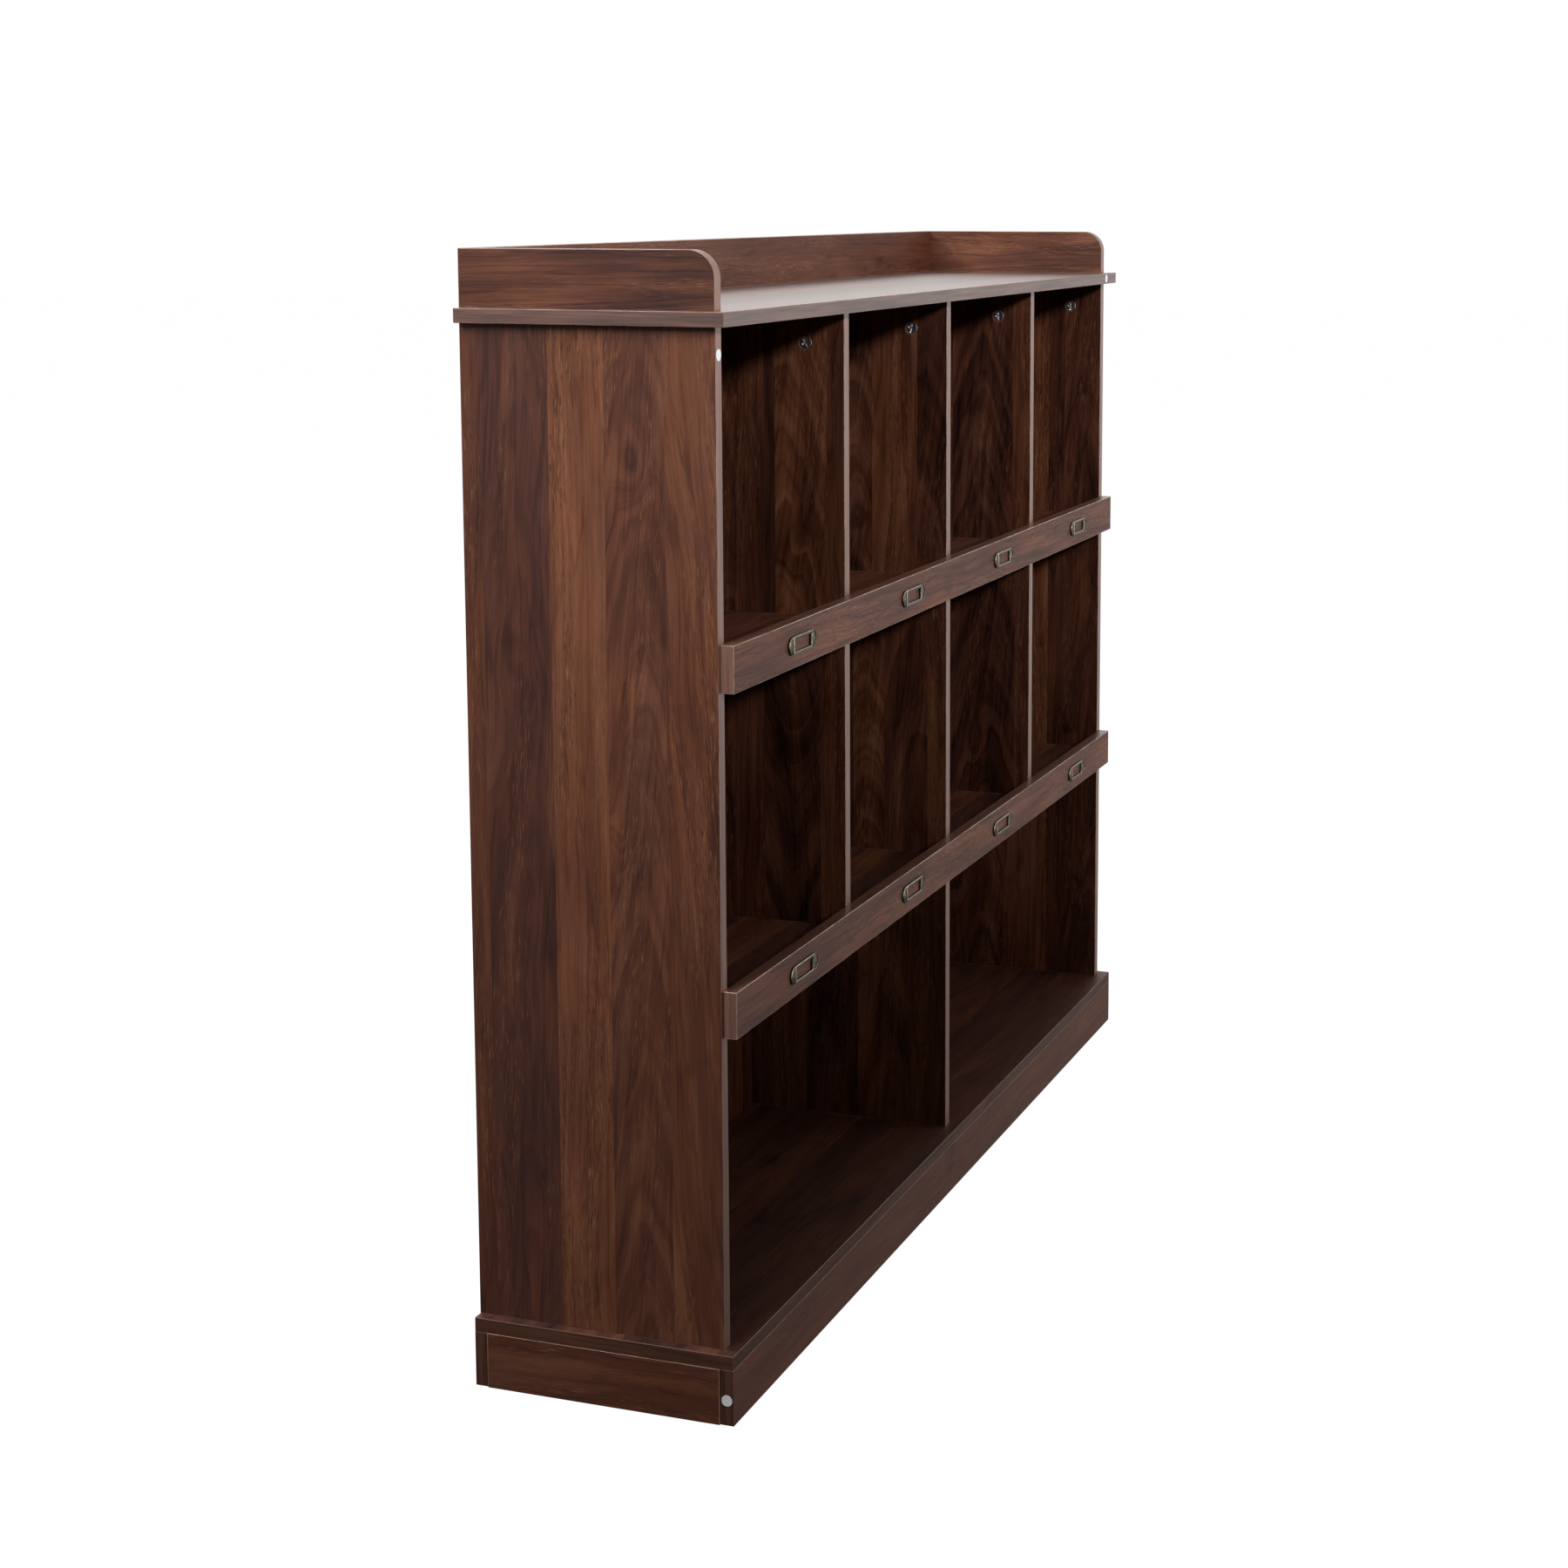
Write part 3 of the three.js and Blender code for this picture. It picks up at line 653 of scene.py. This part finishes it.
def dress_boards():
    inside = {"specular": 0.06, "contrast": 1.15}
    dress_board("side_panel_left", "Y", "Z", seed=1.0, contrast=0.9)
    dress_board("side_panel_right", "Y", "Z", seed=2.0, **inside)
    for index, name in enumerate(DIVIDERS):
        dress_board(name, "Y", "Z", seed=3.0 + index, **inside)
    dress_board(
        "top_board", "Y", "X", seed=11.0,
        band="grey", roughness=0.42, specular=0.50, coat=1.0, bump=0.03, contrast=0.6,
    )
    dress_board(
        "bottom_board", "Y", "X", seed=12.0,
        tone_shift=-0.14, band="deep", wear_and_highlight="dark", specular=0.25,
    )
    for index, name in enumerate(("shelf_lower", "shelf_upper")):
        dress_board(name, "Y", "X", seed=13.0 + index, tone_shift=-0.06)
    for index, name in enumerate(("back_panel_left", "back_panel_right")):
        dress_board(name, "X", "Z", seed=15.0 + index, tone_shift=-0.22, specular=0.06)
    dress_board("gallery_back", "Z", "X", seed=17.0, contrast=0.8)
    for index, name in enumerate(("plinth_front", "plinth_back")):
        dress_board(name, "Z", "X", seed=18.0 + index, band="deep", wear_and_highlight="dark", contrast=0.7)
    # the rails' bright arris lines are a painted highlight
    for index, name in enumerate(("rail_lower", "rail_upper")):
        dress_board(name, "Z", "X", seed=20.0 + index, bevel=RAIL_BEVEL, wear_and_highlight="bright", contrast=1.2)
    for index, name in enumerate(("gallery_left", "gallery_right")):
        dress_board(name, "Z", "Y", seed=22.0 + index, contrast=1.3)
    for index, name in enumerate(("plinth_left", "plinth_right", "plinth_brace")):
        dress_board(name, "Z", "Y", seed=24.0 + index, band="deep", wear_and_highlight="tan", contrast=0.8)


# ---------------------------------------------------------------- metal and paper
def metal_material(name, light, dark, roughness, scale, bump=0.3):
    """Metal whose colour varies in patches of the given scale, with a fine rough surface."""
    made, tree, shader = new_material(name)
    coordinates = tree.node("ShaderNodeTexCoord").outputs["Object"]
    patch = tree.noise(coordinates, scale=scale, detail=4.0, roughness=0.6)
    fine = tree.noise(coordinates, scale=scale * 9, detail=3.0, roughness=0.6)
    amount = tree.spread(patch, 0.3, 0.7)
    tree.feed(shader.inputs["Base Color"], tree.mix(amount, dark, light))
    tree.feed(shader.inputs["Roughness"], tree.spread(fine, 0.3, 0.7, roughness - 0.08, roughness + 0.1))
    tree.feed(shader.inputs["Normal"], tree.bump(fine, bump, METAL_RELIEF))
    shader.inputs["Metallic"].default_value = 1.0
    return made


HOLDER_FRAME = (54.0, 20.0)  # mm, outer size of the raised frame
HOLDER_WINDOW = (46.0, 13.0)
HOLDER_TAB = 11.0  # length of the half-oval tab at each end
HOLDER_RIM = 0.8  # width of the rim round a tab
HOLDER_PLATE = 2.1  # height of the tab's face
HOLDER_PIN = (5.4, 1.0)  # place from the frame's end, and radius of the head
FRAME_CORNER = 2.4  # radii of the frame's outer and inner corners
WINDOW_CORNER = 1.0
TAB_OVERLAP = 0.6  # how far a tab runs in under the frame
HOLDER_BEVEL = 0.18 * MM
# Sections as (share of the way from the outer to the inner outline, height in mm, polished)
FRAME_SECTION = (
    (0.00, 0.0, False),
    (0.00, 2.4, True),
    (0.10, 2.9, True),
    (0.28, 3.0, False),
    (0.80, 3.0, True),
    (0.95, 2.8, False),
    (1.00, 2.5, False),
    (1.00, 0.0, False),
)
TAB_SECTION = (
    (0.00, 0.0, False),
    (0.00, 2.1, True),
    (0.35, 2.6, True),
    (0.70, 2.6, False),
    (1.00, 2.2, False),
    (1.00, 0.0, False),
)
PIN_SECTION = ((1.00, 1.9, False), (1.00, 2.3, False), (0.80, 2.5, True), (0.45, 2.7, True))


def rounded_rectangle(length, height, radius, steps=6):
    """Points round a rectangle with round corners, anticlockwise."""
    points = []
    for corner, (x, y) in enumerate(((1, 1), (-1, 1), (-1, -1), (1, -1))):
        centre = (x * (length / 2 - radius), y * (height / 2 - radius))
        for step in range(steps + 1):
            angle = math.pi / 2 * (corner + step / steps)
            points.append((centre[0] + radius * math.cos(angle), centre[1] + radius * math.sin(angle)))
    return points


def half_oval(start, length, half_height, steps=28):
    """Points round a half oval that stands on the line x = start and bulges to +X."""
    angles = [math.pi * (step / steps - 0.5) for step in range(steps + 1)]
    return [(start + length * math.cos(angle), half_height * math.sin(angle)) for angle in angles]


def circle(centre_x, radius, steps=20):
    turns = [2 * math.pi * step / steps for step in range(steps)]
    return [(centre_x + radius * math.cos(turn), radius * math.sin(turn)) for turn in turns]


class HolderShape:
    """Collects the solids of one label holder. x runs along the rail, y up, height out of the rail."""

    def __init__(self):
        self.points = []
        self.faces = []
        self.polished = []

    def ring(self, points, height):
        first = len(self.points)
        self.points.extend((x, y, height) for x, y in points)
        return list(range(first, len(self.points)))

    def face(self, corners, polished=False):
        self.faces.append(corners)
        self.polished.append(polished)

    def band(self, lower, upper, polished):
        count = len(lower)
        for index in range(count):
            after = (index + 1) % count
            self.face((lower[index], lower[after], upper[after], upper[index]), polished)

    def sweep(self, outer, inner, section):
        """A closed ring whose section runs from the outer to the inner outline."""
        rings = []
        for share, height, _ in section:
            points = [
                (ox + (ix - ox) * share, oy + (iy - oy) * share)
                for (ox, oy), (ix, iy) in zip(outer, inner)
            ]
            rings.append(self.ring(points, height))
        for index, (_, _, polished) in enumerate(section):
            self.band(rings[index], rings[(index + 1) % len(rings)], polished)

    def plate(self, outline, low, high):
        bottom = self.ring(outline, low)
        top = self.ring(outline, high)
        self.band(bottom, top, False)
        self.face(tuple(reversed(bottom)))
        self.face(tuple(top))

    def pin(self, centre_x, radius):
        rings = [self.ring(circle(centre_x, radius * share), height) for share, height, _ in PIN_SECTION]
        for index, lower in enumerate(rings[:-1]):
            self.band(lower, rings[index + 1], PIN_SECTION[index][2])
        self.face(tuple(reversed(rings[0])))
        self.face(tuple(rings[-1]), True)


def mirrored(points):
    """The same outline on the other side of x = 0, still anticlockwise."""
    return [(-x, y) for x, y in reversed(points)]


def holder_shape():
    shape = HolderShape()
    outer = rounded_rectangle(*HOLDER_FRAME, FRAME_CORNER)
    inner = rounded_rectangle(*HOLDER_WINDOW, WINDOW_CORNER)
    shape.sweep(outer, inner, FRAME_SECTION)
    start = HOLDER_FRAME[0] / 2 - TAB_OVERLAP
    reach = HOLDER_TAB + TAB_OVERLAP
    half_height = HOLDER_FRAME[1] / 2
    rim_outer = half_oval(start, reach, half_height)
    rim_inner = half_oval(start, reach - HOLDER_RIM, half_height - HOLDER_RIM)
    pin_x = HOLDER_FRAME[0] / 2 + HOLDER_PIN[0]
    for turn, pin in ((list, pin_x), (mirrored, -pin_x)):
        shape.sweep(turn(rim_outer), turn(rim_inner), TAB_SECTION)
        shape.plate(turn(rim_inner), 0.0, HOLDER_PLATE)
        shape.pin(pin, HOLDER_PIN[1])
    return shape


def make_holder(node, shape, materials):
    """A stamped label holder in the place of its CAD node, with its back on the rail."""
    low, high = (Vector(corner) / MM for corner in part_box(node))
    centre = (low + high) / 2
    mesh = bpy.data.meshes.new(node + "_stamped")
    points = [
        ((centre.x + x) * MM, (high.y - height) * MM, (centre.z + y) * MM)
        for x, y, height in shape.points
    ]
    mesh.from_pydata(points, [], shape.faces)
    for polygon, polished in zip(mesh.polygons, shape.polished):
        polygon.material_index = 1 if polished else 0
        polygon.use_smooth = True
    for made in materials:
        mesh.materials.append(made)
    holder = bpy.data.objects.new(node + "_stamped", mesh)
    scene.collection.objects.link(holder)
    rounding = holder.modifiers.new("soft_edges", "BEVEL")
    rounding.width = HOLDER_BEVEL
    rounding.segments = 2
    rounding.limit_method = "ANGLE"
    rounding.angle_limit = math.radians(HOLDER_CORNER)
    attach(holder, "carcass")
    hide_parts(node)


def dress_hardware():
    patina = metal_material("brass_patina", (0.080, 0.075, 0.060), (0.040, 0.038, 0.030), 0.42, 160.0)
    polished = metal_material("brass_rubbed", (0.400, 0.335, 0.225), (0.180, 0.150, 0.102), 0.36, 220.0)
    zinc = metal_material("cast_zinc", (0.55, 0.55, 0.57), (0.32, 0.32, 0.34), 0.32, 300.0)
    # zinc_edge paints a highlight: near-white zinc on the cams' rounded edges, so they flash as glints
    zinc_edge = metal_material("zinc_edge_painted_highlight", (0.98, 0.96, 0.94), (0.80, 0.78, 0.76), 0.28, 300.0)
    steel = metal_material("plated_steel", (0.66, 0.64, 0.60), (0.42, 0.40, 0.37), 0.3, 260.0)
    shape = holder_shape()
    for name, node in nodes.items():
        slots = node.data.materials
        if name.startswith("label_holder"):
            make_holder(name, shape, (patina, polished))
        elif name.startswith("cam_"):
            slots.clear()
            slots.append(zinc if name.startswith("cam_lock") else steel)
            slots.append(zinc_edge)
            round_edges(node, CAM_BEVEL, CAM_CORNER)


def dress_markers():
    made, tree, shader = new_material("marker_paper")
    coordinates = tree.node("ShaderNodeTexCoord").outputs["Object"]
    fibre = tree.noise(coordinates, scale=900.0, detail=3.0, roughness=0.6)
    tree.feed(shader.inputs["Base Color"], tree.mix(fibre, (0.80, 0.81, 0.84), (0.95, 0.95, 0.96)))
    shader.inputs["Roughness"].default_value = 0.6
    tree.feed(shader.inputs["Normal"], tree.bump(fibre, 0.2, PAPER_RELIEF))
    for name in ("marker_dot_side", "marker_dot_top", "marker_dot_plinth"):
        slots = nodes[name].data.materials
        slots.clear()
        slots.append(made)


# ---------------------------------------------------------------- studio
FLOOR_HALF = 30.0  # m
FLOOR_DROP = 0.0005  # m under the plinth
FLOOR_GLOW = 0.99  # as white as the walls, so the floor has no horizon
WORLD_BRIGHT = 1.1  # studio walls, seen by reflections
WORLD_DIM = 0.06  # what lies below the horizon, seen by reflections
WORLD_FILL = 0.05  # share of that which lights the object
KEY_PLACE = (-2.2, -4.13, 3.2)
KEY_AIM = (0.0, 0.0, 1.0)
KEY_RADIUS = 0.45
KEY_POWER = 900.0
KEY_CONE = 46.0  # degrees
KEY_FLAG = 0.157  # sine of the angle below the axis at which the beam ends
SOFTBOXES = {  # name: (place, aim, side of the square in m, power in W, seen in reflections)
    "front_fill": ((1.9, -4.0, 0.7), (0.0, -0.1, 0.3), 1.2, 62.0, True),
    "left_softbox": ((-2.3, 0.4, 2.1), (-0.72, 0.0, 0.8), 0.9, 37.0, True),
    "back_light": ((-1.0, 2.7, 3.35), (0.0, 0.0, 1.1), 0.6, 110.0, True),
    "right_softbox": ((3.6, 1.2, 1.8), (0.7, 0.0, 0.7), 1.5, 70.0, False),
}


def place_light(light, place, aim, reflected=True):
    """Puts a light in the scene, pointing at aim, out of the camera's sight."""
    light.location = place
    light.rotation_euler = (Vector(aim) - Vector(place)).to_track_quat("-Z", "Y").to_euler()
    light.visible_camera = False
    light.visible_glossy = reflected
    scene.collection.objects.link(light)


def add_front_key():
    """The high front light. A flag under it fades the beam out below its axis."""
    data = bpy.data.lights.new("front_key", "SPOT")
    data.shadow_soft_size = KEY_RADIUS
    data.energy = KEY_POWER
    data.spot_size = math.radians(KEY_CONE)
    data.spot_blend = 0.5
    data.use_nodes = True
    tree = Tree(data.node_tree)
    split = tree.node("ShaderNodeSeparateXYZ")
    tree.feed(split.inputs[0], tree.node("ShaderNodeTexCoord").outputs["Normal"])
    emission = data.node_tree.nodes["Emission"]
    tree.feed(emission.inputs["Strength"], tree.spread(split.outputs["Y"], -KEY_FLAG, 0.0))
    place_light(bpy.data.objects.new("front_key", data), KEY_PLACE, KEY_AIM)


def make_floor():
    mesh = bpy.data.meshes.new("floor")
    corners = [
        (x * FLOOR_HALF, y * FLOOR_HALF, -FLOOR_DROP)
        for x, y in ((-1, -1), (1, -1), (1, 1), (-1, 1))
    ]
    mesh.from_pydata(corners, [], [(0, 1, 2, 3)])
    floor = bpy.data.objects.new("floor", mesh)
    scene.collection.objects.link(floor)
    floor.visible_diffuse = False
    floor.visible_glossy = False
    made, tree, shader = new_material("pale_floor")
    coordinates = tree.node("ShaderNodeTexCoord").outputs["Object"]
    mottle = tree.noise(coordinates, scale=3.0, detail=2.0)
    tree.feed(shader.inputs["Base Color"], tree.mix(mottle, (0.10, 0.10, 0.10), (0.12, 0.12, 0.12)))
    shader.inputs["Roughness"].default_value = 0.9
    shader.inputs["Specular IOR Level"].default_value = 0.0
    shader.inputs["Emission Color"].default_value = (1.0, 1.0, 1.0, 1.0)
    shader.inputs["Emission Strength"].default_value = FLOOR_GLOW
    mesh.materials.append(made)


def make_world():
    """White behind the object; reflections see bright walls above a dim floor."""
    world = bpy.data.worlds.new("studio")
    scene.world = world
    world.use_nodes = True
    tree = Tree(world.node_tree)
    background = world.node_tree.nodes["Background"]
    background.inputs["Color"].default_value = (1.0, 1.0, 1.0, 1.0)
    split = tree.node("ShaderNodeSeparateXYZ")
    tree.feed(split.inputs[0], tree.node("ShaderNodeTexCoord").outputs["Generated"])
    walls = tree.spread(split.outputs["Z"], -0.45, 0.0, WORLD_DIM, WORLD_BRIGHT)
    path = tree.node("ShaderNodeLightPath")
    share = tree.spread(path.outputs["Is Glossy Ray"], 0.0, 1.0, WORLD_FILL, 1.0, smooth=False)
    lit = tree.math("MULTIPLY", walls, share)
    camera = path.outputs["Is Camera Ray"]
    strength = tree.math("MULTIPLY_ADD", lit, tree.math("SUBTRACT", 1.0, camera), camera)
    tree.feed(background.inputs["Strength"], strength)


def make_lights():
    add_front_key()
    for name, (place, aim, side, power, reflected) in SOFTBOXES.items():
        data = bpy.data.lights.new(name, "AREA")
        data.shape = "SQUARE"
        data.size = side
        data.energy = power
        place_light(bpy.data.objects.new(name, data), place, aim, reflected)


make_camera()
dress_boards()
dress_hardware()
dress_markers()
make_floor()
make_world()
make_lights()
scene.view_settings.view_transform = "Standard"
scene.view_settings.look = "None"
